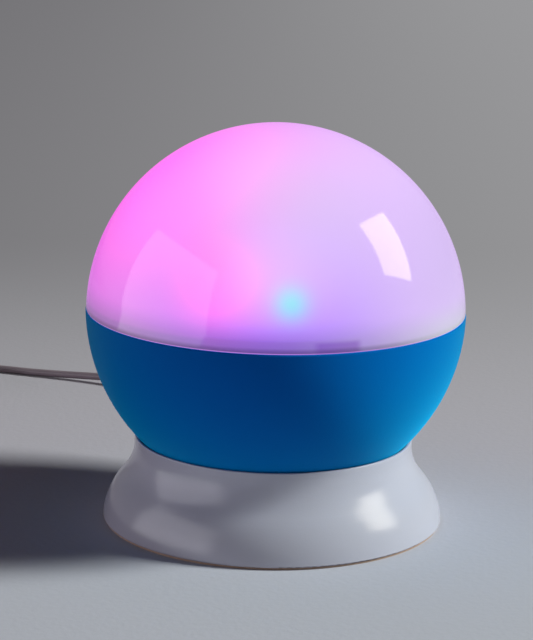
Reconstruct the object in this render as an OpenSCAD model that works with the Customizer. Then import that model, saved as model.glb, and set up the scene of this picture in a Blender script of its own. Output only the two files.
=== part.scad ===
// Globe night light that throws stars: a milky cover on a blue bowl that turns on a white base.
// Millimetres, +Z up, front at -Y, origin on the table under the middle of the base.

/* [Ball] */
// Outer radius of the blue bowl
bowl_r = 65; // [64.6:0.1:65.4]
// Outer radius of the milky cover
cover_r = 64.8; // [64.4:0.1:65.2]
// Wall of the bowl and of the cover
ball_wall = 2; // [1.8:0.1:2.2]
// Height of the middle of the bowl's sphere
bowl_z = 75; // [74.8:0.1:75.2]
// Height of the bowl's rim
rim_z = 74.2; // [73.8:0.1:74.4]
// Height of the middle of the cover's sphere
cover_z = 73; // [72.6:0.1:73.4]
// Outer radius of the star mask
mask_r = 59.5; // [59:0.1:59.8]
// Rows of stars on the mask
star_rows = 5; // [3:1:5]

/* [Base] */
// Outer radius of the neck
neck_r = 47.9; // [47.8:0.1:48.4]
// Height of the neck's lip
lip_z = 29.8; // [29.4:0.1:30]
// Radius of the outward curve near the table
flare_r = 24; // [23:0.5:25]
// Radius of the inward curve under the neck
waist_r = 18; // [17.5:0.5:19]
// Wall of the base
base_wall = 2; // [1.8:0.1:2.1]
// Thickness of the ring that the lamp stands on
foot_t = 0.6; // [0.5:0.1:0.8]

/* [Drive] */
// Teeth of the large gear
wheel_teeth = 70; // [70:1:70]
// Teeth of the motor's pinion
pinion_teeth = 14; // [14:1:14]
// Tooth module
tooth_m = 0.8; // [0.8:0.01:0.8]
// Direction of the motor shaft from the middle, in degrees
motor_a = 140; // [138:1:142]

/* [Keys and jack] */
// Height of the keys and of the jack
key_z = 9; // [8.8:0.1:9.2]
// Radius of a key
key_r = 4; // [3.6:0.1:4.2]

/* [Lead] */
// Diameter of the lead
lead_d = 3; // [2.8:0.1:3.2]
// Radius of the coil's innermost loop
coil_in_r = 11.5; // [11.5:0.5:13]
// Distance between loops
loop_gap = 3.6; // [3.6:0.1:4]
// Whole turns in the coil
coil_turns = 7; // [5:1:8]

/* [Hidden] */
$fn = 96;

shell_white = [0.86, 0.86, 0.89];
bowl_blue = [0.01, 0.2, 0.46];
cover_pink = [0.97, 0.74, 0.98];
foot_tan = [0.62, 0.53, 0.44];
lead_grey = [0.36, 0.32, 0.36];
steel = [0.72, 0.73, 0.75];
brass = [0.8, 0.65, 0.35];
board_green = [0.1, 0.36, 0.2];
black = [0.1, 0.1, 0.11];
natural = [0.93, 0.92, 0.88];
clearance = 0.3;
tiny = 0.05;

// The base's outline is two arcs that meet at one tangent
flare_z = -0.6;
waist_z = 27.5;
waist_x = neck_r + waist_r;
arc_gap = flare_r + waist_r;
flare_x = waist_x - sqrt(arc_gap * arc_gap - pow(waist_z - flare_z, 2));
join_a = atan2(waist_z - flare_z, waist_x - flare_x);
base_r = flare_x + flare_r;

// Heights in the base
plate_t = 1.6;
plate_top = foot_t + plate_t;
deck_z = 15.5;
deck_top = 17;
flange_top = 18.6;
washer_top = 19.2;
pocket_r = 46;
wire_hole_r = 6;
boss_r = 3;
plate_screw_r = 46.5;
plate_screw_a = [50, 130, 200, 340];
spindle_screw_a = [18, 90, 162];
spindle_screw_r = 12;

// Cells
cell_r = 5.25;
cell_pitch = 10.8;
cell_y = [for (i = [0:3]) -7.6 - i * cell_pitch];
cell_z = 8.25;
cell_side = [1, -1, 1, -1];
tray_x = 26;
tray_y = [-45.4, -2.2];
tray_top = 13.9;
tray_wall = 1.2;
contact_t = 0.5;
door_tab = [17, 2.8];

// Spindle, hub and gears
spindle_r = 9;
post_r = 7;
hub_bore_r = 9.08;
hub_r = 12.4;
hub_z = 19.3;
hub_top = 32;
gear_z = [19.5, 22.5];
gear_screw_r = 20;
wheel_r = tooth_m * wheel_teeth / 2;
pinion_r = tooth_m * pinion_teeth / 2;
shaft_d = wheel_r + pinion_r;
shaft_at = [shaft_d * cos(motor_a), shaft_d * sin(motor_a)];
can_at = shaft_at + 6.5 * [cos(motor_a + 90), sin(motor_a + 90)];
can_r = 12;
can_z = 3.2;
ear_a = 62;
ear_d = 15.5;
flank_gap = 0.045;

// Ball
floor_t = 2;
ledge_z = 66.5;
mask_wall = 1.2;
mask_z = 73;
flange_t = 1.5;
collar_r = 62.1;
collar_wall = 1.1;
collar_top = 78;
edge_cut = 0.3;
led_z = 67.2;

// Keys, in order: power, mode, spin
key_x = [-4, 8, 20];
jack_x = -18;
switch_y = 43.5;
stem_y = 45;
stem_r = 1.7;
ear_w = 5.2;
board_z = 3.2;
board_t = 1.4;
board_top = board_z + board_t;

// Lead: the middle of the plug, the face that the lead leaves, and the points that it follows
plug_y = [42.2, 51.3];
grip_end_y = 64;
relief_end_y = 76;
lead_route = [
    [-18, 76, 9], [-18, 80, 9], [-18, 84, 9], [-18, 94, 8.6], [-19, 106, 8], [-22, 118, 7.3],
    [-26, 130.5, 6.4], [-32, 142, 5.6], [-40, 153, 4.8], [-50, 162, 4], [-61, 169, 3.3],
    [-72, 174, 2.7], [-81, 177.5, 2.2], [-90, 180.5, 1.8], [-102, 184.5, 1.5],
    [-113, 188, 1.5], [-123, 190.5, 1.5], [-133, 192.5, 1.5], [-138, 193.5, 1.5]
];

// The coil winds inward on the table, climbs one layer in the middle, and winds out again
coil_entry = lead_route[len(lead_route) - 1];
coil_heading = coil_entry - lead_route[len(lead_route) - 2];
coil_a = atan2(coil_heading[1], coil_heading[0]) - 90;
coil_total = coil_turns + (180 - coil_a) / 360;
coil_half = coil_total / 2;
climb = 0.25;
coil_out_r = coil_radius(0);
coil_at = [coil_entry[0] - coil_out_r * cos(coil_a), coil_entry[1] - coil_out_r * sin(coil_a)];
coil_step = 1 / 24;
tail_l = 24;
usb_z = 4;

function coil_radius(t) = coil_in_r + loop_gap * sqrt(pow(t - coil_half, 2) + 0.02);
function coil_rise(t) =
    lead_d / 2 + loop_gap * (1 - cos(180 * min(max((t - coil_half + climb) / (2 * climb), 0), 1))) / 2;
function coil_point(t) =
    let (a = coil_a + 360 * t)
    [coil_at[0] + coil_radius(t) * cos(a), coil_at[1] + coil_radius(t) * sin(a), coil_rise(t)];
coil_end = coil_point(coil_total);
usb_at = [coil_end[0], coil_end[1] - tail_l, usb_z];
coil_line = concat(
    [coil_entry, coil_entry - lead_d * [cos(coil_a - 90), sin(coil_a - 90), 0]],
    [for (t = [2 * coil_step:coil_step:coil_total - coil_step]) coil_point(t)],
    [coil_end, coil_end - [0, 6, 0.1], usb_at + [0, 11, 0.4], usb_at + [0, 5, 0], usb_at]
);

// Least distance between the surfaces of two loops, measured on the coil's own points
function loops_apart(p, far) = min([
    for (i = [0:len(p) - 1 - far]) min([for (j = [i + far:len(p) - 1]) norm(p[i] - p[j])])
]) - lead_d;
echo(least_gap_in_coil = loops_apart(coil_line, 14));

function run_length(p) = len(p) < 2 ? 0 : [for (i = 0, s = 0; i < len(p);
    s = s + (i + 1 < len(p) ? norm(p[i + 1] - p[i]) : 0), i = i + 1) s][len(p) - 1];
echo(lead_length = run_length(smooth(lead_route, 2)) + run_length(coil_line));

// A smooth line through the given points, with steps pieces between each two
function smooth(p, steps) = let (last = len(p) - 1) concat(
    [for (i = [0:last - 1], k = [0:steps - 1])
        let (
            t = k / steps,
            a = i == 0 ? p[1] - p[0] : (p[i + 1] - p[i - 1]) / 2,
            b = i == last - 1 ? p[last] - p[last - 1] : (p[i + 2] - p[i]) / 2
        )
        (2 * t * t * t - 3 * t * t + 1) * p[i] + (t * t * t - 2 * t * t + t) * a
            + (3 * t * t - 2 * t * t * t) * p[i + 1] + (t * t * t - t * t) * b],
    [p[last]]
);

// The given points with each corner rounded to radius r in three steps
function rounded(p, r) = let (last = len(p) - 1) concat(
    [p[0]],
    [for (i = [1:last - 1])
        let (
            u = (p[i - 1] - p[i]) / norm(p[i - 1] - p[i]),
            v = (p[i + 1] - p[i]) / norm(p[i + 1] - p[i]),
            half = acos(u * v) / 2,
            reach = r / tan(half),
            mid = p[i] + (u + v) / norm(u + v) * r / sin(half),
            from = p[i] + u * reach - mid,
            to = p[i] + v * reach - mid,
            turn = 180 - 2 * half
        )
        for (k = [0:3]) mid + (sin(turn * (1 - k / 3)) * from + sin(turn * k / 3) * to) / sin(turn)],
    [p[last]]
);

// Tube of radius r along the points p. up is a direction that the line never takes
module sweep(p, r, sides, up = [0, 0, 1]) {
    last = len(p) - 1;
    rings = [for (i = [0:last])
        let (
            along = i == 0 ? p[1] - p[0] : i == last ? p[last] - p[last - 1]
                : (p[i + 1] - p[i]) / norm(p[i + 1] - p[i]) + (p[i] - p[i - 1]) / norm(p[i] - p[i - 1]),
            side = cross(along, up) / norm(cross(along, up)),
            over = cross(side, along) / norm(cross(side, along))
        )
        for (k = [0:sides - 1])
            let (a = 360 * k / sides - 90)
            p[i] + r * (cos(a) * side + sin(a) * over)];
    walls = [for (i = [0:last - 1], k = [0:sides - 1])
        let (a = i * sides + k, b = i * sides + (k + 1) % sides)
        each [[a, b, b + sides], [a, b + sides, a + sides]]];
    caps = [for (k = [1:sides - 2])
        each [[0, k + 1, k], [last * sides, last * sides + k, last * sides + k + 1]]];
    polyhedron(points = rings, faces = concat(walls, caps));
}

// Cylinder along +Y from y0 to y1
module bar_y(x, z, y0, y1, r) {
    translate([x, y0, z]) rotate([-90, 0, 0]) cylinder(h = y1 - y0, r = r);
}

// Countersunk screw pointing down, its flat head at z 0
module flat_screw(length, r) {
    translate([0, 0, -r]) cylinder(h = r, r1 = r, r2 = 2 * r);
    translate([0, 0, -length]) cylinder(h = length - r, r = r);
}

// Pan-head screw pointing down, the underside of its head at z 0
module pan_screw(length, r) {
    difference() {
        cylinder(h = 1.2 * r, r = 2 * r);
        translate([-r, -0.2 * r, 0.6 * r]) cube([2 * r, 0.4 * r, r]);
    }
    translate([0, 0, -length]) cylinder(h = length, r = r);
}

// Half outline of the base, filled, with its surface moved in by inset
module base_area(inset = 0) {
    low_r = flare_r - inset;
    seam_z = flare_z + low_r * sin(join_a);
    intersection() {
        union() {
            square([flare_x, seam_z]);
            translate([flare_x, flare_z]) circle(low_r);
        }
        square([base_r + 5, seam_z]);
    }
    difference() {
        translate([0, seam_z]) square([waist_x, lip_z - seam_z]);
        translate([waist_x, waist_z]) circle(waist_r + inset);
        translate([neck_r - inset, waist_z]) square([waist_x, lip_z]);
    }
}

// Section of the housing with its deck and the pocket that the ball turns in
module shell_section() {
    corner = 1;
    lip_round = 0.35;
    difference() {
        base_area();
        intersection() {
            base_area(base_wall);
            square([base_r, deck_z]);
        }
        translate([0, deck_top]) square([pocket_r, lip_z]);
        intersection() {
            translate([0, bowl_z]) circle(bowl_r + clearance);
            translate([0, lip_z - 4]) square([base_r, 5]);
        }
        square([base_r + 5, foot_t]);
        square([wire_hole_r, lip_z]);
        difference() {
            translate([base_r - corner, foot_t]) square(corner + 1);
            translate([base_r - corner, foot_t + corner]) circle(corner);
            translate([base_r - corner, foot_t + corner]) square(corner + 1);
        }
        difference() {
            translate([neck_r - lip_round, lip_z - lip_round]) square(1);
            translate([neck_r - lip_round, lip_z - lip_round]) circle(lip_round);
        }
    }
}

module at_motor_ears() {
    for (s = [-1, 1])
        translate([can_at[0] + s * ear_d * cos(ear_a), can_at[1] + s * ear_d * sin(ear_a), 0])
            children();
}

module base_shell() {
    color(shell_white) difference() {
        union() {
            rotate_extrude() shell_section();
            for (a = plate_screw_a) rotate(a) translate([plate_screw_r, 0, plate_top])
                cylinder(h = deck_z - plate_top + tiny, r = boss_r);
            for (a = spindle_screw_a) rotate(a) translate([spindle_screw_r, 0, 12])
                cylinder(h = deck_z - 12 + tiny, r = 2.4);
            translate([door_tab[0], door_tab[1], plate_top + tiny])
                cylinder(h = deck_z - plate_top, r = boss_r);
            at_motor_ears() translate([0, 0, deck_top - tiny]) cylinder(h = 3.5, r = 2.3);
        }
        for (a = plate_screw_a) rotate(a) translate([plate_screw_r, 0, 0]) cylinder(h = 12, r = 1.3);
        for (a = spindle_screw_a) rotate(a) translate([spindle_screw_r, 0, 12.6])
            cylinder(h = 6, r = 1.05);
        translate([door_tab[0], door_tab[1], 0]) cylinder(h = 10, r = 1.3);
        at_motor_ears() translate([0, 0, deck_z - 1]) cylinder(h = 5.2, r = 1.05);
        translate([shaft_at[0], shaft_at[1], deck_z - 1]) cylinder(h = 4, r = 4.3);
        for (x = key_x) bar_y(x, key_z, 42, 62, key_r + clearance);
        bar_y(jack_x, key_z, 42, 62, 4.7);
    }
}

// Outline of the lid under the cells, grown by gap
module door_area(gap = 0) {
    intersection() {
        translate([-tray_x - gap, tray_y[0] - gap])
            square([2 * (tray_x + gap), tray_y[1] - tray_y[0] + 2 * gap]);
        circle(51.6 + gap);
    }
    translate([door_tab[0], door_tab[1]]) circle(4 + gap);
    translate([door_tab[0] - 4 - gap, tray_y[1] - 2]) square([8 + 2 * gap, door_tab[1] - tray_y[1] + 2]);
}

module base_plate() {
    color(shell_white) difference() {
        union() {
            translate([0, 0, foot_t]) cylinder(h = plate_t, r = 56.2);
            for (x = [-12, 12]) translate([x, 34, plate_top - tiny])
                cylinder(h = board_z - plate_top + tiny, r = 2.2);
            for (x = [-20, 20]) translate([x, 45, plate_top - tiny])
                cylinder(h = board_z - plate_top + tiny, r = 1.5);
            for (x = [-30, -20]) translate([x, 12, plate_top - tiny]) cylinder(h = 0.5, r = 1.6);
        }
        translate([0, 0, -1]) linear_extrude(5) door_area(clearance);
        for (a = plate_screw_a) rotate(a) translate([plate_screw_r, 0, foot_t]) {
            cylinder(h = 1.3, r1 = 2.6, r2 = 1.3);
            cylinder(h = 5, r = 1.35);
        }
        for (x = [-12, 12]) translate([x, 34, foot_t + 0.6]) cylinder(h = 5, r = 1.0);
    }
}

module foot_ring() {
    color(foot_tan) difference() {
        cylinder(h = foot_t, r = base_r - 0.8);
        translate([0, 0, -1]) cylinder(h = foot_t + 2, r = 53.4);
    }
}

module plate_screws() {
    color(steel) for (a = plate_screw_a) rotate(a) translate([plate_screw_r, 0, foot_t])
        rotate([180, 0, 0]) flat_screw(9, 1.25);
}

module battery_door() {
    color(shell_white) difference() {
        union() {
            translate([0, 0, foot_t]) linear_extrude(plate_t) door_area();
            for (y = cell_y) translate([-20, y - 0.6, plate_top - tiny]) cube([40, 1.2, 0.6]);
        }
        translate([door_tab[0], door_tab[1], foot_t - tiny]) {
            cylinder(h = 1.3, r1 = 2.6, r2 = 1.3);
            cylinder(h = 5, r = 1.35);
        }
        for (i = [0:3]) translate([-8, -40 + 2.4 * i, foot_t - tiny]) cube([16, 1.2, 0.6]);
    }
}

module door_screw() {
    color(steel) translate([door_tab[0], door_tab[1], foot_t]) rotate([180, 0, 0]) flat_screw(8, 1.2);
}

// Box that the tray's outside or inside fills, kept within the housing's curve
module tray_space(grow, top, inset) {
    intersection() {
        translate([-tray_x - grow, tray_y[0] - grow, plate_top])
            cube([2 * (tray_x + grow), tray_y[1] - tray_y[0] + 2 * grow, top - plate_top]);
        rotate_extrude() base_area(inset);
    }
}

module battery_tray() {
    color(shell_white) difference() {
        tray_space(tray_wall, tray_top + 1.1, base_wall + 0.5);
        translate([0, 0, -tiny]) tray_space(0, tray_top, base_wall + 1.7);
        for (y = [cell_y[0], cell_y[3]]) translate([tray_x - 1, y - 1, 6]) cube([4, 2, 2]);
    }
    color(shell_white) for (i = [0:2]) translate([-18, (cell_y[i] + cell_y[i + 1]) / 2 - 0.4, tray_top - 2.4])
        cube([36, 0.8, 2.4 + tiny]);
}

module battery_cells() {
    for (i = [0:3]) translate([-20.65 * cell_side[i], cell_y[i], cell_z]) rotate([0, 90 * cell_side[i], 0]) {
        color([0.25, 0.3, 0.34]) cylinder(h = 43.7, r = cell_r);
        color(steel) translate([0, 0, 43.7 - tiny]) cylinder(h = 0.8 + tiny, r = 1.9);
    }
}

// One sheet behind the cell ends from row i to row j on side s
module contact_sheet(s, i, j) {
    low = cell_y[j] - 3.4;
    translate([s > 0 ? tray_x - contact_t : -tray_x, low, 5]) cube([contact_t, cell_y[i] + 3.4 - low, 6.5]);
}

module contact_plates() {
    color(steel) {
        contact_sheet(1, 0, 0);
        contact_sheet(1, 1, 2);
        contact_sheet(1, 3, 3);
        contact_sheet(-1, 0, 1);
        contact_sheet(-1, 2, 3);
        for (i = [0:3]) translate([cell_side[i] * (tray_x - contact_t + tiny), cell_y[i], cell_z])
            rotate([0, -90 * cell_side[i], 0]) cylinder(h = 1.6, r1 = 2.8, r2 = 2);
    }
}

module contact_springs() {
    turns = 3.5;
    long = 4;
    color(steel) for (i = [0:3]) {
        s = -cell_side[i];
        x = s * (tray_x - contact_t - 0.42);
        line = [for (k = [0:35]) let (t = k / 35, r = 3.4 - 1.4 * t)
            [x - s * long * t, cell_y[i] + r * cos(360 * turns * t), cell_z + r * sin(360 * turns * t)]];
        sweep(line, 0.35, 5, [1, 0, 0]);
    }
}

module gear_motor() {
    color(steel) difference() {
        union() {
            translate([can_at[0], can_at[1], can_z]) cylinder(h = deck_z - can_z, r = can_r);
            translate([shaft_at[0], shaft_at[1], deck_z - tiny]) cylinder(h = 1.5, r = 4);
            at_motor_ears() translate([0, 0, deck_z - 0.8]) cylinder(h = 0.8, r = 3.2);
            translate([can_at[0], can_at[1], deck_z - 0.8]) rotate(ear_a) translate([-ear_d, -2.6, 0])
                cube([2 * ear_d, 5.2, 0.8]);
            for (r = [4, 9]) translate([can_at[0], can_at[1], can_z - 0.4]) difference() {
                cylinder(h = 1, r = r);
                translate([0, 0, -1]) cylinder(h = 3, r = r - 1);
            }
        }
        at_motor_ears() translate([0, 0, deck_z - 2]) cylinder(h = 4, r = 1.1);
        translate([shaft_at[0], shaft_at[1], 12.6]) cylinder(h = 6, r = 1.55);
    }
}

module motor_screws() {
    color(steel) at_motor_ears() translate([0, 0, deck_z - 0.8]) rotate([180, 0, 0]) pan_screw(4.6, 1);
}

module motor_shaft() {
    color(steel) translate([shaft_at[0], shaft_at[1], 13]) cylinder(h = 9, r = 1.5);
}

// Involute teeth: the half angle of a tooth at radius r, in degrees
function involute(a) = tan(a) * 180 / PI - a;
function half_tooth(r, teeth) =
    let (base = tooth_m * teeth / 2 * cos(20))
    90 / teeth - flank_gap * 360 / (PI * tooth_m * teeth) + involute(20) - involute(acos(min(base / r, 1)));
function tooth_radii(teeth) =
    let (
        root = tooth_m * (teeth / 2 - 1.25),
        tip = tooth_m * (teeth / 2 + 0.95),
        start = max(root, tooth_m * teeth / 2 * cos(20))
    )
    concat(start > root ? [root] : [], [for (k = [0:3]) start + (tip - start) * k / 3]);

module gear_area(teeth) {
    radii = tooth_radii(teeth);
    last = len(radii) - 1;
    polygon([for (i = [0:teeth - 1]) each concat(
        [for (r = radii) r * [cos(360 * i / teeth - half_tooth(r, teeth)),
            sin(360 * i / teeth - half_tooth(r, teeth))]],
        [for (k = [0:last]) let (r = radii[last - k]) r * [cos(360 * i / teeth + half_tooth(r, teeth)),
            sin(360 * i / teeth + half_tooth(r, teeth))]]
    )]);
}

module motor_pinion() {
    color(natural) translate([shaft_at[0], shaft_at[1], hub_z]) rotate(motor_a + 180 + 180 / pinion_teeth)
        difference() {
            linear_extrude(2.8) gear_area(pinion_teeth);
            translate([0, 0, -1]) cylinder(h = 6, r = 1.53);
        }
}

module spindle() {
    color(natural) difference() {
        union() {
            translate([0, 0, deck_top]) cylinder(h = flange_top - deck_top, r = 15);
            translate([0, 0, deck_top]) cylinder(h = 19, r = spindle_r);
        }
        translate([0, 0, deck_top - 1]) cylinder(h = 22, r = post_r + tiny);
        translate([0, 0, hub_top + 0.4]) difference() {
            cylinder(h = 0.8, r = spindle_r + 1);
            translate([0, 0, -1]) cylinder(h = 3, r = 8.2);
        }
        for (a = spindle_screw_a) rotate(a) translate([spindle_screw_r, 0, deck_top - 1]) {
            cylinder(h = 4, r = 1.05);
            translate([0, 0, 1.5]) cylinder(h = 1.15, r1 = 1.05, r2 = 2.2);
        }
    }
}

module spindle_screws() {
    color(steel) for (a = spindle_screw_a) rotate(a) translate([spindle_screw_r, 0, flange_top])
        flat_screw(5.6, 1);
}

module thrust_washer() {
    color(brass) translate([0, 0, flange_top]) difference() {
        cylinder(h = washer_top - flange_top, r = 13);
        translate([0, 0, -1]) cylinder(h = 3, r = spindle_r + 0.1);
    }
}

module hub_retainer() {
    color(steel) translate([0, 0, hub_top + 0.45]) difference() {
        cylinder(h = 0.7, r = 12);
        translate([0, 0, -1]) cylinder(h = 3, r = 8.25);
        translate([0, -5, -1]) cube([20, 10, 3]);
        for (a = [120, 240]) rotate(a) translate([8.4, 0, -1]) cylinder(h = 3, r = 1.6);
    }
}

module lamp_post() {
    color(natural) translate([0, 0, deck_top]) difference() {
        cylinder(h = 45, r = post_r);
        translate([0, 0, -1]) cylinder(h = 47, r = post_r - 1.6);
    }
}

module led_holder() {
    color(natural) difference() {
        union() {
            translate([0, 0, 52]) cylinder(h = 10, r = spindle_r);
            translate([0, 0, 62]) cylinder(h = 2, r = 16);
            translate([0, 0, 56]) cylinder(h = 6, r1 = spindle_r, r2 = 14);
            for (a = [0, 120, 240]) rotate(a) translate([12, 0, 63]) {
                cylinder(h = led_z - 1.2 - 63, r = 2);
                cylinder(h = led_z + 0.5 - 63, r = 0.9);
            }
        }
        translate([0, 0, 51]) cylinder(h = 11, r = post_r + tiny);
        translate([0, 0, 51]) cylinder(h = 20, r = post_r - 1.6);
    }
}

module led_board() {
    color(board_green) translate([0, 0, led_z - 1.2]) difference() {
        cylinder(h = 1.2, r = 15);
        for (a = [0, 120, 240]) rotate(a) translate([12, 0, -1]) cylinder(h = 4, r = 1);
    }
}

// Round LED with its skirt, on the board at angle a
module led(a) {
    rotate(a) translate([7, 0, led_z]) {
        cylinder(h = 1, r = 2.9);
        cylinder(h = 5.7, r = 2.5);
        translate([0, 0, 5.7]) sphere(2.5);
    }
}

module led_red() {
    color("red") led(225);
}

module led_green() {
    color("limegreen") led(135);
}

module led_blue() {
    color("deepskyblue") led(315);
}

module led_white() {
    color("white") led(45);
}

module control_board() {
    color(board_green) difference() {
        translate([-25, 31, board_z]) cube([51, 17, board_t]);
        for (x = [-12, 12]) translate([x, 34, 0]) cylinder(h = 10, r = 1.1);
    }
    color(black) {
        translate([2, 36.5, board_top - tiny]) cube([5, 3.5, 1.5]);
        translate([15.5, 37, board_top - tiny]) cylinder(h = 7, r = 2.5);
    }
    color(natural) {
        translate([-25, 31, board_top - tiny]) cube([5, 4, 3.5]);
        translate([20.5, 31, board_top - tiny]) cube([5, 4, 3.5]);
    }
}

module board_screws() {
    color(steel) for (x = [-12, 12]) translate([x, 34, board_top]) pan_screw(3.2, 0.95);
}

module tact_switches() {
    color(black) for (x = key_x) difference() {
        translate([x - 3.1, 40.3, board_top]) cube([6.2, switch_y - 40.3, key_z + 3.1 - board_top]);
        bar_y(x, key_z, 41.4, 50, stem_r + 0.1);
    }
}

module dc_jack() {
    color(black) difference() {
        union() {
            translate([jack_x - 4.5, 39, board_top]) cube([9, 7.8, 12.4 - board_top]);
            bar_y(jack_x, key_z, 46, 51, 3.4);
        }
        bar_y(jack_x, key_z, 41.5, 52, 1.9);
    }
    color(steel) bar_y(jack_x, key_z, 41.4, 50, 0.6);
}

// Ribbon of five wires down the post and along under the deck to the board
module led_wires() {
    color([0.75, 0.2, 0.2]) for (i = [-2:2])
        sweep(rounded([[1.35 * i, 0, led_z - 1.2], [1.35 * i, 0, 10], [1.35 * i, 34, 10],
            [1.35 * i, 34, board_top]], 3), 0.6, 6, [1, 0, 0]);
}

module motor_wires() {
    color([0.2, 0.2, 0.6]) for (x = [-24, -22])
        bar_y(x, 7, can_at[1] + sqrt(can_r * can_r - pow(x - can_at[0] - 0.55, 2)) + 0.3, 31, 0.55);
}

module battery_wires() {
    outer = tray_x + tray_wall;
    color([0.15, 0.15, 0.16]) {
        sweep(rounded([[outer, cell_y[0], 7], [31, cell_y[0], 7], [31, 12, 7], [22, 22, 7], [22, 31, 7]], 2),
            0.55, 6);
        sweep(rounded([[outer, cell_y[3], 7], [33.5, cell_y[3], 7], [33.5, 13, 7], [24.5, 23, 7],
            [24.5, 31, 7]], 2), 0.55, 6);
    }
}

// Inner radius of the housing at height z
function inner_r(z) = flare_x + sqrt(pow(flare_r - base_wall, 2) - pow(z - flare_z, 2));

// Key at x: its cap follows the housing's curve, and two ears keep it in
module key(x) {
    ear_y = sqrt(pow(inner_r(key_z + 2.5), 2) - pow(abs(x) + ear_w, 2)) - 0.35;
    color(shell_white) {
        intersection() {
            bar_y(x, key_z, ear_y - 1, 62, key_r);
            rotate_extrude() base_area(-1);
        }
        translate([x - ear_w, ear_y - 1.2, key_z - 2.5]) cube([2 * ear_w, 1.2, 5]);
        if (ear_y - 1.2 > stem_y) bar_y(x, key_z, stem_y, ear_y - 1, stem_r);
    }
}

module power_button() {
    key(key_x[0]);
}

module mode_button() {
    key(key_x[1]);
}

module spin_button() {
    key(key_x[2]);
}

module plunger(x) {
    color(natural) bar_y(x, key_z, switch_y - 1.2, stem_y, stem_r);
}

module power_plunger() {
    plunger(key_x[0]);
}

module mode_plunger() {
    plunger(key_x[1]);
}

module spin_plunger() {
    plunger(key_x[2]);
}

// Section of the bowl: sphere with the corner of its rim taken off, flat floor, ledge for the mask and hub
module bowl_section() {
    floor_z = gear_z[1];
    difference() {
        union() {
            difference() {
                translate([0, bowl_z]) circle(bowl_r);
                translate([0, bowl_z]) circle(bowl_r - ball_wall);
            }
            intersection() {
                translate([0, bowl_z]) circle(bowl_r);
                translate([0, floor_z]) square([bowl_r, floor_t]);
            }
            intersection() {
                translate([0, bowl_z]) circle(bowl_r - 1);
                polygon([[57.5, 65], [57.5, ledge_z], [bowl_r, ledge_z], [bowl_r, 59]]);
            }
        }
        translate([-bowl_r - 1, 0]) square([bowl_r + 1, 2 * bowl_z]);
        square([bowl_r, floor_z]);
        translate([0, rim_z]) square([bowl_r + 1, bowl_r + 1]);
        polygon([[bowl_r - edge_cut - tiny, rim_z + tiny], [bowl_r + 1, rim_z + tiny],
            [bowl_r + 1, rim_z - edge_cut - 1]]);
        square([hub_bore_r, bowl_z]);
    }
    translate([hub_bore_r, hub_z]) square([hub_r - hub_bore_r, hub_top - hub_z]);
}

module bowl() {
    floor_top = gear_z[1] + floor_t;
    color(bowl_blue) difference() {
        union() {
            rotate_extrude() bowl_section();
            for (a = [30:60:330]) rotate(a) translate([hub_r - 0.5, -0.8, floor_top - tiny])
                cube([gear_screw_r + 6 - hub_r, 1.6, 4]);
            for (a = [90, 210, 330]) rotate(a) translate([gear_screw_r, 0, floor_top - tiny])
                cylinder(h = 4.5, r = 3);
            for (a = [60, 180, 300]) rotate(a) translate([59.7, 0, ledge_z - tiny])
                cylinder(h = 1.3, r = 0.9);
        }
        for (a = [90, 210, 330]) rotate(a) translate([gear_screw_r, 0, gear_z[1] - 1])
            cylinder(h = 6.4, r = 1.15);
    }
}

module drive_gear() {
    thick = gear_z[1] - gear_z[0];
    color(natural) translate([0, 0, gear_z[0]]) difference() {
        union() {
            difference() {
                rotate(motor_a) linear_extrude(thick) gear_area(wheel_teeth);
                translate([0, 0, -1]) cylinder(h = thick, r = 24.6);
            }
            cylinder(h = thick - 0.5, r = 15.5);
            for (a = [90, 210, 330]) rotate(a) {
                translate([gear_screw_r, 0, 0]) cylinder(h = thick - 0.5, r = 3.6);
                translate([15, -0.8, 0]) cube([10, 1.6, thick - 0.5]);
            }
        }
        translate([0, 0, -1]) cylinder(h = thick + 2, r = hub_r + 0.1);
        for (a = [30, 150, 270]) rotate(a) translate([gear_screw_r, 0, -1]) cylinder(h = thick + 2, r = 3.2);
        for (a = [90, 210, 330]) rotate(a) translate([gear_screw_r, 0, -1]) {
            cylinder(h = thick + 2, r = 1.15);
            cylinder(h = 2.5, r = 2.5);
        }
    }
}

module gear_screws() {
    color(steel) for (a = [90, 210, 330]) rotate(a) translate([gear_screw_r, 0, gear_z[0] + 1.5])
        rotate([180, 0, 0]) pan_screw(6, 1.05);
}

// Star outline of outer radius r
module star_area(r) {
    polygon([for (k = [0:9]) (k % 2 == 0 ? r : 0.42 * r) * [cos(36 * k), sin(36 * k)]]);
}

module moon_area(r) {
    difference() {
        circle(r);
        translate([0.45 * r, 0]) circle(0.8 * r);
    }
}

// Cuts children, drawn flat, through the mask at turn a and height angle e
module through_mask(a, e) {
    translate([0, 0, mask_z]) rotate([0, 90 - e, a]) translate([0, 0, mask_r - 4]) linear_extrude(8)
        children();
}

// Stars, moons and dots in rows, and two spiral arms of dots round the top
module mask_cuts() {
    for (row = [0:star_rows - 1]) {
        e = 9 + 11 * row;
        count = 3 * round(7 * cos(e));
        for (i = [0:count - 1]) {
            a = 360 * (i + (row % 2) / 2) / count;
            if ((i + row) % 3 == 0) through_mask(a, e) star_area(3);
            else if ((i + row) % 3 == 1) through_mask(a, e) circle(0.9);
            else if (row % 2 == 0) through_mask(a, e) moon_area(2);
            else through_mask(a, e) star_area(2);
        }
    }
    for (arm = [0, 180], k = [0:7])
        through_mask(arm + 30 * k, 86 - 3.4 * k) circle(1.3 - 0.1 * k);
}

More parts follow.
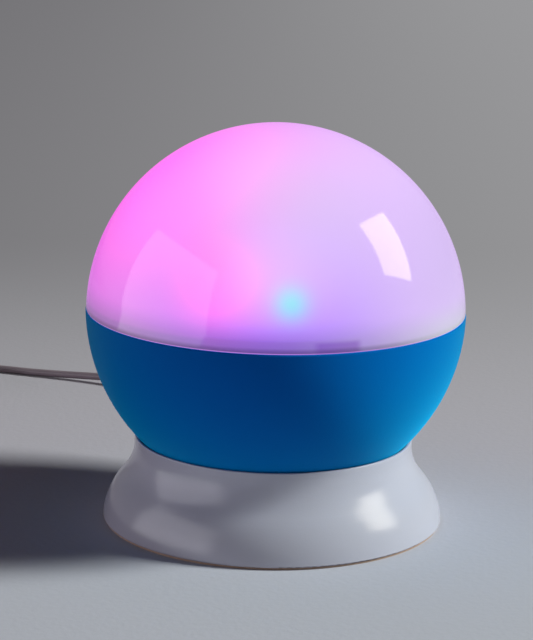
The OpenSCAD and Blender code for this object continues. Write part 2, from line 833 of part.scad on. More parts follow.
// Perforated dome on a flange, with a collar that keeps the cover in the middle
module star_mask() {
    color(black) difference() {
        rotate_extrude() difference() {
            union() {
                difference() {
                    translate([0, mask_z]) circle(mask_r);
                    translate([0, mask_z]) circle(mask_r - mask_wall);
                }
                translate([57.5, ledge_z]) square([collar_r - 57.5, flange_t]);
                translate([collar_r - collar_wall, ledge_z]) square([collar_wall, collar_top - ledge_z]);
            }
            translate([-mask_r, 0]) square([mask_r, 3 * mask_r]);
            square([mask_r + 5, ledge_z]);
        }
        for (a = [60, 180, 300]) rotate(a) translate([59.7, 0, ledge_z - 1]) cylinder(h = 2.6, r = 1.1);
        mask_cuts();
    }
}

// The cover stands on the bowl's rim, round the mask's collar
module night_cover() {
    inner = cover_r - ball_wall + 0.2;
    low = rim_z + 0.1;
    color(cover_pink) rotate_extrude() difference() {
        translate([0, cover_z]) circle(cover_r);
        translate([0, cover_z]) circle(inner);
        translate([0, -cover_r]) square([cover_r + 1, low + cover_r]);
        polygon([[cover_r - edge_cut - tiny, low - tiny], [cover_r + 1, low - tiny],
            [cover_r + 1, low + edge_cut + 1]]);
        polygon([[inner - 1, low - tiny], [inner + edge_cut + tiny, low - tiny],
            [inner - 1, low + edge_cut + 1]]);
        translate([-cover_r - 1, -cover_r]) square([cover_r + 1, 4 * cover_r]);
    }
}

module lead_plug() {
    color(steel) difference() {
        bar_y(jack_x, key_z, plug_y[0], plug_y[1], 1.75);
        bar_y(jack_x, key_z, plug_y[0] - 1, plug_y[0] + 8, 0.75);
    }
}

// Turned about the plug's own line: points are radius and distance along +Y
module along_lead() {
    translate([jack_x, 0, key_z]) rotate([-90, 0, 0]) rotate_extrude() children();
}

module lead_grip() {
    color(black) difference() {
        along_lead() union() {
            translate([0, plug_y[1]]) square([4.2, grip_end_y - plug_y[1] - 2]);
            translate([0, grip_end_y - 2]) square([2.2, 2]);
            translate([2.2, grip_end_y - 2]) circle(2);
        }
        bar_y(jack_x, key_z, grip_end_y, grip_end_y + 1, 6);
        for (y = [56, 58, 60]) translate([jack_x, y, key_z]) rotate([-90, 0, 0]) difference() {
            cylinder(h = 0.8, r = 6);
            translate([0, 0, -1]) cylinder(h = 3, r = 3.8);
        }
    }
}

module lead_relief() {
    color(black) along_lead() difference() {
        polygon([[0, grip_end_y], [2.9, grip_end_y], [1.9, relief_end_y], [0, relief_end_y]]);
        for (y = [grip_end_y + 2:2.2:relief_end_y - 2]) translate([2.05, y]) square([2, 0.9]);
    }
}

module lead_run() {
    color(lead_grey) sweep(smooth(lead_route, 2), lead_d / 2, 8);
}

module lead_coil() {
    color(lead_grey) sweep(coil_line, lead_d / 2, 6);
}

module usb_grip() {
    grip_l = 24;
    color(black) translate([usb_at[0], usb_at[1] - grip_l, usb_at[2]]) union() {
        difference() {
            translate([-6, 0, -4]) cube([12, grip_l - 4, 8]);
            for (s = [-1, 1], k = [0:3]) translate([s * 6.4 - 0.8, 5 + 2.6 * k, -5]) cube([1.6, 1.2, 10]);
        }
        translate([0, grip_l - 4 - tiny, 0]) rotate([-90, 0, 0]) cylinder(h = 4 + tiny, r1 = 4, r2 = 2.2);
    }
}

module usb_shell() {
    grip_l = 24;
    shell_l = 12;
    color(steel) translate([usb_at[0], usb_at[1] - grip_l - shell_l, usb_at[2]]) difference() {
        translate([-6, 0, -2.25]) cube([12, shell_l, 4.5]);
        translate([-5.6, -1, -1.85]) cube([11.2, shell_l - 1, 2.2]);
        for (s = [-1, 1]) translate([3 * s - 1.2, 4, 1]) cube([2.4, 2.4, 2]);
    }
}

base_shell();
base_plate();
foot_ring();
plate_screws();
battery_door();
door_screw();
battery_tray();
battery_cells();
contact_plates();
contact_springs();
gear_motor();
motor_screws();
motor_shaft();
motor_pinion();
spindle();
spindle_screws();
thrust_washer();
hub_retainer();
lamp_post();
led_holder();
led_board();
led_red();
led_green();
led_blue();
led_white();
control_board();
board_screws();
tact_switches();
dc_jack();
led_wires();
motor_wires();
battery_wires();
power_button();
mode_button();
spin_button();
power_plunger();
mode_plunger();
spin_plunger();
bowl();
drive_gear();
gear_screws();
star_mask();
night_cover();
lead_plug();
lead_grip();
lead_relief();
lead_run();
lead_coil();
usb_grip();
usb_shell();
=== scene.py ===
import math

import bmesh
import bpy
from mathutils import Matrix, Vector


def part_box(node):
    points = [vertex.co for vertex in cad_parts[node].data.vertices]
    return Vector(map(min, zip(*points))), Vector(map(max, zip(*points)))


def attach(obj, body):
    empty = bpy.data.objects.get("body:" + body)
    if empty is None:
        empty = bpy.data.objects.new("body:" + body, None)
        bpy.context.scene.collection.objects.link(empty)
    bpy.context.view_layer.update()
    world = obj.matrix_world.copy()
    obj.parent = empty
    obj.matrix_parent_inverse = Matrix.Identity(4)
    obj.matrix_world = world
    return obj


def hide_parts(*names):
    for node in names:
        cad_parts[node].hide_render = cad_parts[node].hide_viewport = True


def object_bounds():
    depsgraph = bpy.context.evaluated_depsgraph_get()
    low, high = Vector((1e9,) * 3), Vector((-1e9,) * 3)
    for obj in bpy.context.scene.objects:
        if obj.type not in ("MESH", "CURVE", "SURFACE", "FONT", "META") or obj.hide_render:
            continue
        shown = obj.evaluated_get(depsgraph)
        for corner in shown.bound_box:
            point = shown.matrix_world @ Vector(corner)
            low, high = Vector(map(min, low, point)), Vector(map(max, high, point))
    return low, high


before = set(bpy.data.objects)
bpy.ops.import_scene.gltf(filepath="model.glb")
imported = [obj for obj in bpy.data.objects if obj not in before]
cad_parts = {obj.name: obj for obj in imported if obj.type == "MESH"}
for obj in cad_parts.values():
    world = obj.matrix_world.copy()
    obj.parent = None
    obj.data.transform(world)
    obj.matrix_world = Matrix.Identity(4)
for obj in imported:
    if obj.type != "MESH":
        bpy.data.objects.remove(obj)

cadBox = [list(corner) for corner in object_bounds()]
scene = bpy.context.scene
scene.view_settings.view_transform = "Standard"
mm = 0.001
print("stage: frame loaded,", len(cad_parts), "nodes")


def tone(red, green, blue):  # a screen colour, 0 to 255, as the renderer's linear one
    parts = [value / 255 for value in (red, green, blue)]
    return tuple(p / 12.92 if p <= 0.04045 else ((p + 0.055) / 1.055) ** 2.4 for p in parts)


class Wire:  # a value on its way between two nodes
    def __init__(self, finish, socket):
        self.finish = finish
        self.socket = socket

    def __add__(self, other):
        return self.finish.maths("ADD", self, other)

    def __radd__(self, other):
        return self.finish.maths("ADD", other, self)

    def __sub__(self, other):
        return self.finish.maths("SUBTRACT", self, other)

    def __rsub__(self, other):
        return self.finish.maths("SUBTRACT", other, self)

    def __mul__(self, other):
        return self.finish.maths("MULTIPLY", self, other)

    def __rmul__(self, other):
        return self.finish.maths("MULTIPLY", other, self)

    def __truediv__(self, other):
        return self.finish.maths("DIVIDE", self, other)

    def __rtruediv__(self, other):
        return self.finish.maths("DIVIDE", other, self)

    def __neg__(self):
        return self.finish.maths("MULTIPLY", self, -1)


class Finish:  # a material, or the world, built from nodes
    def __init__(self, owner):
        self.owner = owner
        self.owner.use_nodes = True
        self.tree = self.owner.node_tree
        self.tree.nodes.clear()
        self.at = None

    def node(self, kind, settings=None, inputs=None, output=0):
        made = self.tree.nodes.new(kind)
        for key, value in (settings or {}).items():
            setattr(made, key, value)
        for key, value in (inputs or {}).items():
            socket = made.inputs[key]
            if isinstance(value, Wire):
                self.tree.links.new(value.socket, socket)
            elif socket.type == "RGBA":
                socket.default_value = (*value[:3], 1)
            else:
                socket.default_value = value
        return Wire(self, made.outputs[output]) if len(made.outputs) else None

    def outputs(self, wire):  # all outputs of the node that a wire comes from
        return {socket.name: Wire(self, socket) for socket in wire.socket.node.outputs}

    def maths(self, operation, *values):
        return self.node("ShaderNodeMath", {"operation": operation}, dict(enumerate(values)))

    def vector(self, operation, *values, output=0):
        return self.node("ShaderNodeVectorMath", {"operation": operation}, dict(enumerate(values)), output)

    def dot(self, first, second):
        return self.vector("DOT_PRODUCT", first, second, output="Value")

    def place(self):  # where a point of the piece is, in metres, in the shared frame
        if self.at is None:
            self.at = self.node("ShaderNodeTexCoord", output="Object")
        return self.at

    def axes(self):
        return list(self.outputs(self.node("ShaderNodeSeparateXYZ", inputs={0: self.place()})).values())

    def rays(self):  # 1 for a ray that sees the backdrop, and 1 for a ray of gloss
        kinds = self.outputs(self.node("ShaderNodeLightPath"))
        seen = kinds["Is Camera Ray"] + kinds["Is Glossy Ray"] + kinds["Is Transmission Ray"]
        return self.maths("MINIMUM", seen, 1), kinds["Is Glossy Ray"]

    def noise(self, scale, detail):
        return self.node("ShaderNodeTexNoise", {}, {"Vector": self.place(), "Scale": scale, "Detail": detail})

    def after(self, value, low, high):  # 0 below low, 1 above high, smooth between
        return self.node("ShaderNodeMapRange", {"interpolation_type": "SMOOTHSTEP"}, {
            "Value": value, "From Min": low, "From Max": high})

    def before(self, value, low, high):  # 1 below low, 0 above high, smooth between
        return 1 - self.after(value, low, high)

    def inside(self, zone):  # 1 in a box given in mm by its (from, to) on each axis, with None for open
        return math.prod(
            self.maths("GREATER_THAN", axis * way, end * way * mm)
            for axis, ends in zip(self.axes(), zone)
            for end, way in zip(ends or (), (1, -1)) if end is not None)

    def mixed(self, factor, first, second):
        return self.node("ShaderNodeMix", {"data_type": "RGBA"}, {0: factor, 6: first, 7: second}, 2)

    def bump(self, height, depth, strength=1.0):
        return self.node("ShaderNodeBump", {}, {"Strength": strength, "Distance": depth, "Height": height})

    def shade(self, **surface):
        shader = self.node("ShaderNodeBsdfPrincipled", {}, {sockets[key]: surface[key] for key in surface})
        self.node("ShaderNodeOutputMaterial", {}, {"Surface": shader})
        return self.owner


sockets = {
    "colour": "Base Color", "roughness": "Roughness", "metallic": "Metallic", "ior": "IOR",
    "glow": "Emission Color", "glowStrength": "Emission Strength", "normal": "Normal",
    "specular": "Specular IOR Level", "sheen": "Sheen Weight", "sheenRoughness": "Sheen Roughness",
    "sheenTint": "Sheen Tint",
}
usualPlastic = {
    "cloudScale": 45, "cloudDetail": 3, "unevenGloss": 0.08,
    "grainScale": 2600, "grainDetail": 1, "grainDepth": 0.00002,
}


def moulded(name, look):  # plastic with faint clouding, fine grain and uneven gloss
    finish = Finish(bpy.data.materials.new(name))
    look = {**usualPlastic, **look}
    cloud = finish.noise(look["cloudScale"], look["cloudDetail"])
    grain = finish.noise(look["grainScale"], look["grainDetail"])
    surface = {key: look[key] for key in look if key in sockets}
    if "shade" in look:
        surface["colour"] = finish.mixed(cloud, look["colour"], look["shade"])
    surface["roughness"] = look["roughness"] + (cloud - 0.5) * look["unevenGloss"]
    surface["normal"] = finish.bump(grain, look["grainDepth"])
    for zone, part in look.get("zones", ()):
        mask = finish.inside(zone)
        surface["colour"] = finish.mixed(mask, surface["colour"], part["colour"])
        for key in ("roughness", "metallic"):
            if key in part:
                surface[key] = mask * part[key] + (1 - mask) * surface.get(key, 0)
    return finish.shade(**surface)


def dress(finish, *nodes):
    for name in nodes:
        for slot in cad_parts[name].material_slots:
            slot.material = finish


def piece(name, shape, finish, body, replaces=(), sharp=None):
    vertices, faces = shape
    mesh = bpy.data.meshes.new(name)
    mesh.from_pydata([[c * mm for c in v] for v in vertices], [], faces)
    outward = bmesh.new()
    outward.from_mesh(mesh)
    bmesh.ops.recalc_face_normals(outward, faces=outward.faces)
    outward.to_mesh(mesh)
    outward.free()
    mesh.shade_smooth()
    if sharp:
        mesh.set_sharp_from_angle(angle=math.radians(sharp))
    mesh.materials.append(finish)
    made = bpy.data.objects.new(name, mesh)
    scene.collection.objects.link(made)
    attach(made, body)
    if replaces:
        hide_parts(*replaces)
    return made


def arc(centreX, centreY, radius, start, end, steps):
    angles = [math.radians(start + (end - start) * k / steps) for k in range(steps + 1)]
    return [(centreX + radius * math.cos(a), centreY + radius * math.sin(a)) for a in angles]


def lathe(profile, steps):  # turns (radius, height) points that start and end on the axis
    vertices, rings = [], []
    for radius, height in profile:
        if radius == 0:
            rings.append([len(vertices)] * steps)
            vertices.append((0, 0, height))
        else:
            rings.append([len(vertices) + k for k in range(steps)])
            vertices += [(radius * math.cos(2 * math.pi * k / steps),
                          radius * math.sin(2 * math.pi * k / steps), height) for k in range(steps)]
    faces = []
    for low, high in zip(rings, rings[1:]):
        for k in range(steps):
            n = (k + 1) % steps
            corners = list(dict.fromkeys((low[k], low[n], high[n], high[k])))
            if len(corners) > 2:
                faces.append(corners)
    return vertices, faces


def tube(path, radius, sides):  # round tube along points, its section carried without twist
    path = [Vector(p) for p in path]
    ahead = [(path[min(i + 1, len(path) - 1)] - path[max(i - 1, 0)]).normalized() for i in range(len(path))]
    side = ahead[0].orthogonal().normalized()
    vertices, faces = [], []
    for i, point in enumerate(path):
        side = (side - side.dot(ahead[i]) * ahead[i]).normalized()
        over = ahead[i].cross(side)
        for k in range(sides):
            a = 2 * math.pi * k / sides
            vertices.append(tuple(point + radius * (math.cos(a) * side + math.sin(a) * over)))
        if i:
            for k in range(sides):
                n = (k + 1) % sides
                faces.append(((i - 1) * sides + k, (i - 1) * sides + n, i * sides + n, i * sides + k))
    last = (len(path) - 1) * sides
    faces.append(tuple(range(sides))[::-1])
    faces.append(tuple(last + k for k in range(sides)))
    return vertices, faces


def smoothLine(points, steps):  # a smooth line through the given points
    line = []
    for i in range(len(points) - 1):
        p, q = Vector(points[i]), Vector(points[i + 1])
        a = q - p if i == 0 else (q - Vector(points[i - 1])) / 2
        b = q - p if i == len(points) - 2 else (Vector(points[i + 2]) - p) / 2
        for k in range(steps):
            t = k / steps
            line.append((2 * t**3 - 3 * t**2 + 1) * p + (t**3 - 2 * t**2 + t) * a
                        + (3 * t**2 - 2 * t**3) * q + (t**3 - t**2) * b)
    return line + [Vector(points[-1])]


def block(middle, size, turn, bevel):  # box with bevelled edges, standing at middle
    half, deep = size[0] / 2, size[1] / 2
    cos, sin = math.cos(math.radians(turn)), math.sin(math.radians(turn))
    vertices, faces = [], []
    for height, inset in ((0, bevel), (bevel, 0), (size[2] - bevel, 0), (size[2], bevel)):
        for x, y in ((1, -1), (1, 1), (-1, 1), (-1, -1)):
            for cutX, cutY in ((bevel, 0), (0, bevel))[::1 if x * y < 0 else -1]:
                u, v = x * (half - inset - cutX), y * (deep - inset - cutY)
                vertices.append((middle[0] + u * cos - v * sin, middle[1] + u * sin + v * cos, middle[2] + height))
    for ring in range(3):
        for k in range(8):
            n = (k + 1) % 8
            faces.append((ring * 8 + k, ring * 8 + n, ring * 8 + 8 + n, ring * 8 + 8 + k))
    return vertices, faces + [list(range(8))[::-1], list(range(24, 32))]


def joined(shapes):
    vertices, faces = [], []
    for points, corners in shapes:
        faces += [[c + len(vertices) for c in face] for face in corners]
        vertices += points
    return vertices, faces


# camera, at the angle and distance of the photograph
cameraView = {
    "at": (-3.12, -865.7, 278.9), "down": 13.559, "roll": 1.096, "lens": 146.25, "sensor": 36,
    "clip": (0.05, 60),
}
optics = bpy.data.cameras.new("camera")
optics.lens, optics.sensor_width = cameraView["lens"], cameraView["sensor"]
optics.clip_start, optics.clip_end = cameraView["clip"]
camera = bpy.data.objects.new("camera", optics)
scene.collection.objects.link(camera)
camera.matrix_world = (
    Matrix.Translation(Vector(cameraView["at"]) * mm)
    @ Matrix.Rotation(math.radians(90 - cameraView["down"]), 4, "X")
    @ Matrix.Rotation(math.radians(cameraView["roll"]), 4, "Z")
)
scene.camera = camera


# lead, from the relief behind the base, along the table and into its coil
lead = {
    "thickness": 3.0, "sides": 16, "smoothing": 4,
    "route": [
        (-18, 76, 9), (-18, 80, 9), (-18, 84, 9), (-18, 94, 8.6), (-19, 106, 8), (-22, 118, 7.3),
        (-26, 130.5, 6.4), (-32, 142, 5.6), (-40, 153, 4.8), (-50, 162, 4), (-61, 169, 3.3),
        (-72, 174, 2.7), (-81, 177.5, 2.2), (-90, 180.5, 1.8), (-102, 184.5, 1.5),
        (-113, 188, 1.5), (-123, 190.5, 1.5), (-133, 192.5, 1.5), (-138, 193.5, 1.5),
    ],
    "innerLoop": 11.5, "loopGap": 3.6, "turns": 7, "pointsPerTurn": 24, "climb": 0.25, "softMiddle": 0.02,
    "leavesCoil": (-6, -0.1), "tail": 24, "plugHeight": 4, "intoPlug": [(11, 0.4), (5, 0), (0, 0)],
}


def coilLine():  # inward on the table, up one layer in the middle, outward again, and on to the plug
    entry, before = lead["route"][-1], lead["route"][-2]
    along = math.atan2(entry[1] - before[1], entry[0] - before[0])
    start = math.degrees(along) - 90
    total = lead["turns"] + (180 - start) / 360

    def radius(t):
        return lead["innerLoop"] + lead["loopGap"] * math.sqrt((t - total / 2) ** 2 + lead["softMiddle"])

    heading = math.radians(start)
    middle = (entry[0] - radius(0) * math.cos(heading), entry[1] - radius(0) * math.sin(heading))

    def point(t):
        rise = min(max((t - total / 2 + lead["climb"]) / (2 * lead["climb"]), 0), 1)
        a = math.radians(start + 360 * t)
        return (middle[0] + radius(t) * math.cos(a), middle[1] + radius(t) * math.sin(a),
                lead["thickness"] / 2 + lead["loopGap"] * (1 - math.cos(math.pi * rise)) / 2)

    perTurn, (out, down) = lead["pointsPerTurn"], lead["leavesCoil"]
    line = [(entry[0] + lead["thickness"] * math.cos(along), entry[1] + lead["thickness"] * math.sin(along),
             entry[2])]
    line += [point(k / perTurn) for k in range(2, int(total * perTurn + 1e-6))]
    end = point(total)
    line += [end, (end[0], end[1] + out, end[2] + down)]
    return line + [(end[0], end[1] - lead["tail"] + back, lead["plugHeight"] + up)
                   for back, up in lead["intoPlug"]]


leadPath = smoothLine(lead["route"] + coilLine(), lead["smoothing"])
outermost = cadBox[1][1] / mm - lead["thickness"] / 2
for point in leadPath:
    point.y = min(point.y, outermost)
leadLength = sum((b - a).length for a, b in zip(leadPath, leadPath[1:]))
print("stage: lead of", round(leadLength), "mm")

sheath = {
    "colour": tone(150, 134, 141), "shade": tone(130, 115, 123), "roughness": 0.36, "unevenGloss": 0.12,
    "grainScale": 1800, "grainDepth": 0.00002, "cloudScale": 90,
}
leadSheath = moulded("leadSheath", sheath)
leadTube = piece("lead", tube(leadPath, lead["thickness"] / 2, lead["sides"]), leadSheath, "base",
                 ("lead_run", "lead_coil"), 40)
dress(leadSheath, "lead_grip", "lead_relief", "usb_grip")
[tuple(p * mm) for p in leadPath]


# floor: pale paper near the lamp, painted lighter at the front and darker towards the back; a backdrop with its
# own light farther off, painted darker on the left and lighter on the right
floor = {
    "radius": 9.0, "corners": 72, "sunk": 0.00003,
    "front": (0.61, 0.608, 0.669), "back": (0.585, 0.544, 0.597), "frontToBack": (-0.06, 0.1),
    "fibre": {"scale": 420, "detail": 4, "share": 0.05, "depth": 0.0002, "strength": 0.5},
    "farLeft": tone(118, 117, 120), "farRight": tone(153, 153, 155), "leftToRight": (-0.3, 0.3),
    "backdrop": tone(138, 138, 141), "evenFrom": (1.6, 4.0), "behind": (0.08, 0.48), "around": (0.4, 1.4),
    "glossPatch": {"towards": (-0.949, -0.317, 0), "from": (0.12, 0.4), "end": (0.97, 0.99),
             "spread": (0.55, 0.62), "light": (1.45, 1.6, 1.45)},
}


def floorPaper():
    finish = Finish(bpy.data.materials.new("floorPaper"))
    fibre, glossPatch = floor["fibre"], floor["glossPatch"]
    across, along = finish.axes()[:2]
    fromMiddle = finish.vector("LENGTH", finish.place(), output="Value")
    fibres = finish.noise(fibre["scale"], fibre["detail"])
    # the paper is painted lighter and bluer at the front and darker towards the back: painted light and shade
    paperToneAndShade = finish.mixed(finish.after(along, *floor["frontToBack"]), floor["front"], floor["back"])
    paperToneAndShade = finish.node("ShaderNodeVectorMath", {"operation": "SCALE"}, {
        0: paperToneAndShade, "Scale": 1 + (fibres - 0.5) * fibre["share"]})
    paper = finish.node("ShaderNodeBsdfDiffuse", {}, {
        "Color": paperToneAndShade, "Normal": finish.bump(fibres, fibre["depth"], fibre["strength"])})
    # the backdrop's glow is painted darker on the left and lighter on the right: painted light of the key lamp on
    # the right
    backdropLitTone = finish.mixed(finish.after(across, *floor["leftToRight"]), floor["farLeft"], floor["farRight"])
    backdropLitTone = finish.mixed(finish.after(fromMiddle, *floor["evenFrom"]), backdropLitTone, floor["backdrop"])
    seen, gloss = finish.rays()
    far = finish.maths("MAXIMUM", finish.after(along, *floor["behind"]),
                       finish.after(fromMiddle, *floor["around"])) * seen
    # a patch of the table at the left glows only for gloss rays: light painted on the floor that shows as a
    # reflection in the cover and the base
    outward = finish.dot(finish.place(), glossPatch["towards"])
    aside = finish.dot(finish.place(), (-glossPatch["towards"][1], glossPatch["towards"][0], 0))
    glossPatchMask = finish.after(outward, *glossPatch["from"]) * finish.before(outward, *glossPatch["end"]) * gloss
    glossPatchMask = glossPatchMask * finish.before(finish.maths("ABSOLUTE", aside / outward), *glossPatch["spread"])
    backdropLight = finish.node("ShaderNodeEmission", {}, {
        "Color": finish.mixed(glossPatchMask, backdropLitTone, glossPatch["light"])})
    finish.node("ShaderNodeOutputMaterial", {}, {"Surface": finish.node("ShaderNodeMixShader", {}, {
        0: finish.maths("MAXIMUM", far, glossPatchMask), 1: paper, 2: backdropLight})})
    return finish.owner


rim = [(x, y, 0) for x, y in arc(0, 0, floor["radius"], 0, 360, floor["corners"])[:-1]]
ground = bpy.data.meshes.new("floor")
ground.from_pydata(rim, [], [tuple(range(len(rim)))])
ground.materials.append(floorPaper())
floorDisc = bpy.data.objects.new("floor", ground)
floorDisc.location.z = -floor["sunk"]
scene.collection.objects.link(floorDisc)

# the world lights the lamp only faintly, and shows the backdrop's tone to what sees it
ambient = {"light": (0.010, 0.010, 0.003), "backdrop": floor["backdrop"]}
scene.world = bpy.data.worlds.new("studio")
studio = Finish(scene.world)
studio.node("ShaderNodeOutputWorld", {}, {"Surface": studio.node("ShaderNodeBackground", {}, {
    "Color": studio.mixed(studio.rays()[0], ambient["light"], ambient["backdrop"])})})

lamps = {
    "key": {"at": (3387, 20, 2201), "size": (837, 1130), "towards": (0, 0, 73), "turn": -26,
            "radiance": 46.1, "colour": (0.97, 1.045, 1.01), "gloss": False},
    "keyGlint": {"at": (3444, -34, 2197), "size": (1630, 2120), "towards": (304, -1632, 208), "turn": -37,
                 "radiance": 4.6, "colour": (1.0, 0.95, 0.82), "diffuse": False},
    "leftFill": {"at": (-948, -317, 200), "size": (1225, 260), "towards": (0, 0, 200), "turn": 0,
                 "radiance": 1.75, "colour": (1.0, 0.925, 1.07), "gloss": False},
    "leftGlint": {"at": (-938, -314, 396), "size": (1212, 790), "towards": (0, 0, 396), "turn": 0,
                  "radiance": 1.05, "colour": (1, 0.98, 1.02), "diffuse": False},
}
for name, lamp in lamps.items():
    light = bpy.data.lights.new(name, "AREA")
    light.shape = "RECTANGLE"
    light.size, light.size_y = (side * mm for side in lamp["size"])
    light.energy = 4 * light.size * light.size_y * lamp["radiance"]  # the watts for this radiance of its face
    light.color = lamp["colour"]
    holder = bpy.data.objects.new(name, light)
    scene.collection.objects.link(holder)
    at = Vector(lamp["at"]) * mm
    aim = (Vector(lamp["towards"]) * mm - at).to_track_quat("-Z", "Y")
    holder.matrix_world = (Matrix.Translation(at) @ aim.to_matrix().to_4x4()
                           @ Matrix.Rotation(math.radians(lamp["turn"]), 4, "Z"))
    holder.visible_glossy = lamp.get("gloss", True)
    holder.visible_diffuse = lamp.get("diffuse", True)
    holder.visible_camera = False
print("stage: floor and lamps")


# cover: milky dome with a painted glow that stands in for the light of the LEDs inside; each glow is brightest
# where it points, and a glow of negative colour paints shade
cover = {
    "radius": 64.8, "wall": 1.8, "middle": 73.0, "low": 74.3, "fillet": 0.45,
    "steps": {"round": 256, "outside": 72, "lip": 6, "inside": 60, "topAngle": 89},
    "colour": (0.42, 0.39, 0.44), "roughness": 0.07, "ior": 1.49,
    "haze": {"scale": 38, "detail": 3, "keep": 0.96, "gloss": 0.03},
    "ripple": {"scale": 60, "detail": 1, "depth": 0.00002, "strength": 0.4},
    "seam": {"height": 11.5, "glow": (0.48, 0.44, 0.55), "colour": (0.5, 0.52, 0.49),
             "from": (26, 62), "to": (120, 170)},
    "bandFade": {"side": 3, "top": 1.6},
    "bands": [
        {"from": -22, "to": 26, "top": 79.5, "keep": (0.9, 0.91, 0.88)},
        {"from": 10, "to": 26, "top": 78.8, "keep": (0.8, 0.62, 0.9)},
        {"from": -400, "to": -19, "top": 78.7, "keep": (0.86, 0.95, 0.89)},
        {"from": -400, "to": 400, "top": 76.6, "keep": (0.62, 0.62, 0.62)},
    ],
    "lipHighlight": {"heights": (0.27, 0.45), "light": (0.34, 0.16, 0.34)},
    "dustGlints": {"scale": 62, "size": (0.012, 0.022), "light": (0.05, 0.05, 0.05)},
    "glow": [
        {"towards": (-0.51, -0.24, 0.82), "sharp": 0.3, "colour": (0.73, 0.48, 0.99)},
        {"towards": (-0.56, -0.33, 0.76), "sharp": 5.5, "colour": (1.00, 0.25, 0.55)},
        {"towards": (-0.29, -0.89, 0.34), "sharp": 60.0, "colour": (0.66, -0.03, -0.06)},
        {"towards": (0.07, -0.96, 0.27), "sharp": 270.0, "colour": (-0.37, 0.37, -0.2)},
        {"towards": (-0.03, -1.0, 0.02), "sharp": 7.8, "colour": (-0.48, -0.45, 0.04)},
        {"towards": (0.01, -0.70, 0.72), "sharp": 11.4, "colour": (-0.09, 0.09, -0.08)},
        {"towards": (-0.05, -0.97, 0.26), "sharp": 16.5, "colour": (0.44, 0.36, 0.30)},
        {"towards": (0.85, -0.34, 0.40), "sharp": 5.9, "colour": (-0.23, -0.19, -0.22)},
        {"towards": (-0.68, -0.08, 0.73), "sharp": 1.8, "colour": (-0.47, -0.60, -0.60)},
    ],
}


def coverProfile():  # from the inside's top down, round the lip, and up to the outside's top
    outer, inner = cover["radius"], cover["radius"] - cover["wall"]
    middle, lip, fillet, steps = cover["middle"], cover["low"] + cover["fillet"], cover["fillet"], cover["steps"]
    reaches = (outer - fillet, inner + fillet)
    outX, inX = (math.sqrt(reach ** 2 - (lip - middle) ** 2) for reach in reaches)
    outTurn, inTurn = (math.degrees(math.asin((lip - middle) / reach)) for reach in reaches)
    profile = [(0, middle + outer)] + arc(0, middle, outer, steps["topAngle"], outTurn, steps["outside"])
    profile += arc(outX, lip, fillet, outTurn, -90, steps["lip"])[1:]
    profile += arc(inX, lip, fillet, -90, -180 + inTurn, steps["lip"])
    profile += arc(0, middle, inner, inTurn, steps["topAngle"], steps["inside"])[1:] + [(0, middle + inner)]
    return profile[::-1]


def milkyPlastic():
    finish = Finish(bpy.data.materials.new("milkyCover"))
    seam, fade, highlightLine, dustGlints = (cover[key] for key in ("seam", "bandFade", "lipHighlight", "dustGlints"))
    haze, ripple, low = (cover[key] for key in ("haze", "ripple", "low"))
    heading = finish.vector("SUBTRACT", finish.place(), (0, 0, cover["middle"] * mm))
    heading = finish.vector("NORMALIZE", heading)
    glow = (0, 0, 0)
    # each lobe paints LED light onto the cover; a lobe with negative colour paints shade
    for lobe in cover["glow"]:
        nearness = finish.dot(heading, tuple(Vector(lobe["towards"]).normalized()))
        mask = finish.maths("EXPONENT", (nearness - 1) * lobe["sharp"])
        glow = finish.vector("MULTIPLY_ADD", mask, lobe["colour"], glow)
    across, along, height = (axis / mm for axis in finish.axes())
    angle = finish.maths("ARCTAN2", across, -along) * (180 / math.pi)  # 0 in front, 90 on the right
    nearSeam = finish.before(height, low, low + seam["height"])
    # near the seam the glow is painted darker: painted shade of the star mask's collar behind the lip
    glow = finish.vector("MULTIPLY", finish.vector("MAXIMUM", glow, (0, 0, 0)),
                         finish.mixed(nearSeam, (1, 1, 1), seam["glow"]))
    clouds = finish.noise(haze["scale"], haze["detail"])
    milk = finish.mixed(clouds, cover["colour"], tuple(c * haze["keep"] for c in cover["colour"]))
    for band in cover["bands"]:  # painted shade: faint upright darker bands just above the bowl, in the glow and in the milk
        sector = finish.after(angle, band["from"], band["from"] + fade["side"])
        sector = sector * finish.before(angle, band["to"] - fade["side"], band["to"])
        sector = sector * finish.before(height, band["top"] - fade["top"], band["top"])
        bandShade = finish.mixed(sector, (1, 1, 1), band["keep"])
        glow, milk = finish.vector("MULTIPLY", glow, bandShade), finish.vector("MULTIPLY", milk, bandShade)
    # dust specks, painted as small glints in the glow
    dots = finish.node("ShaderNodeTexVoronoi", {}, {"Vector": finish.place(), "Scale": dustGlints["scale"]})
    glow = finish.vector("MULTIPLY_ADD", finish.before(dots, *dustGlints["size"]), dustGlints["light"], glow)
    # a painted highlight line along the lip
    line = finish.before(height, *(low + rise for rise in highlightLine["heights"]))
    glow = finish.vector("MULTIPLY_ADD", line, highlightLine["light"], glow)
    # near the seam on the right the milk is painted paler: painted light on the side of the key lamp
    paintedPaleRim = nearSeam * finish.after(angle, *seam["from"]) * finish.before(angle, *seam["to"])
    return finish.shade(
        colour=finish.mixed(paintedPaleRim, milk, seam["colour"]), ior=cover["ior"],
        roughness=cover["roughness"] + (clouds - 0.5) * haze["gloss"], glow=glow, glowStrength=1.0,
        normal=finish.bump(finish.noise(ripple["scale"], ripple["detail"]), ripple["depth"], ripple["strength"]))


piece("cover", lathe(coverProfile(), cover["steps"]["round"]), milkyPlastic(), "cover",
      ("night_cover",), 30)

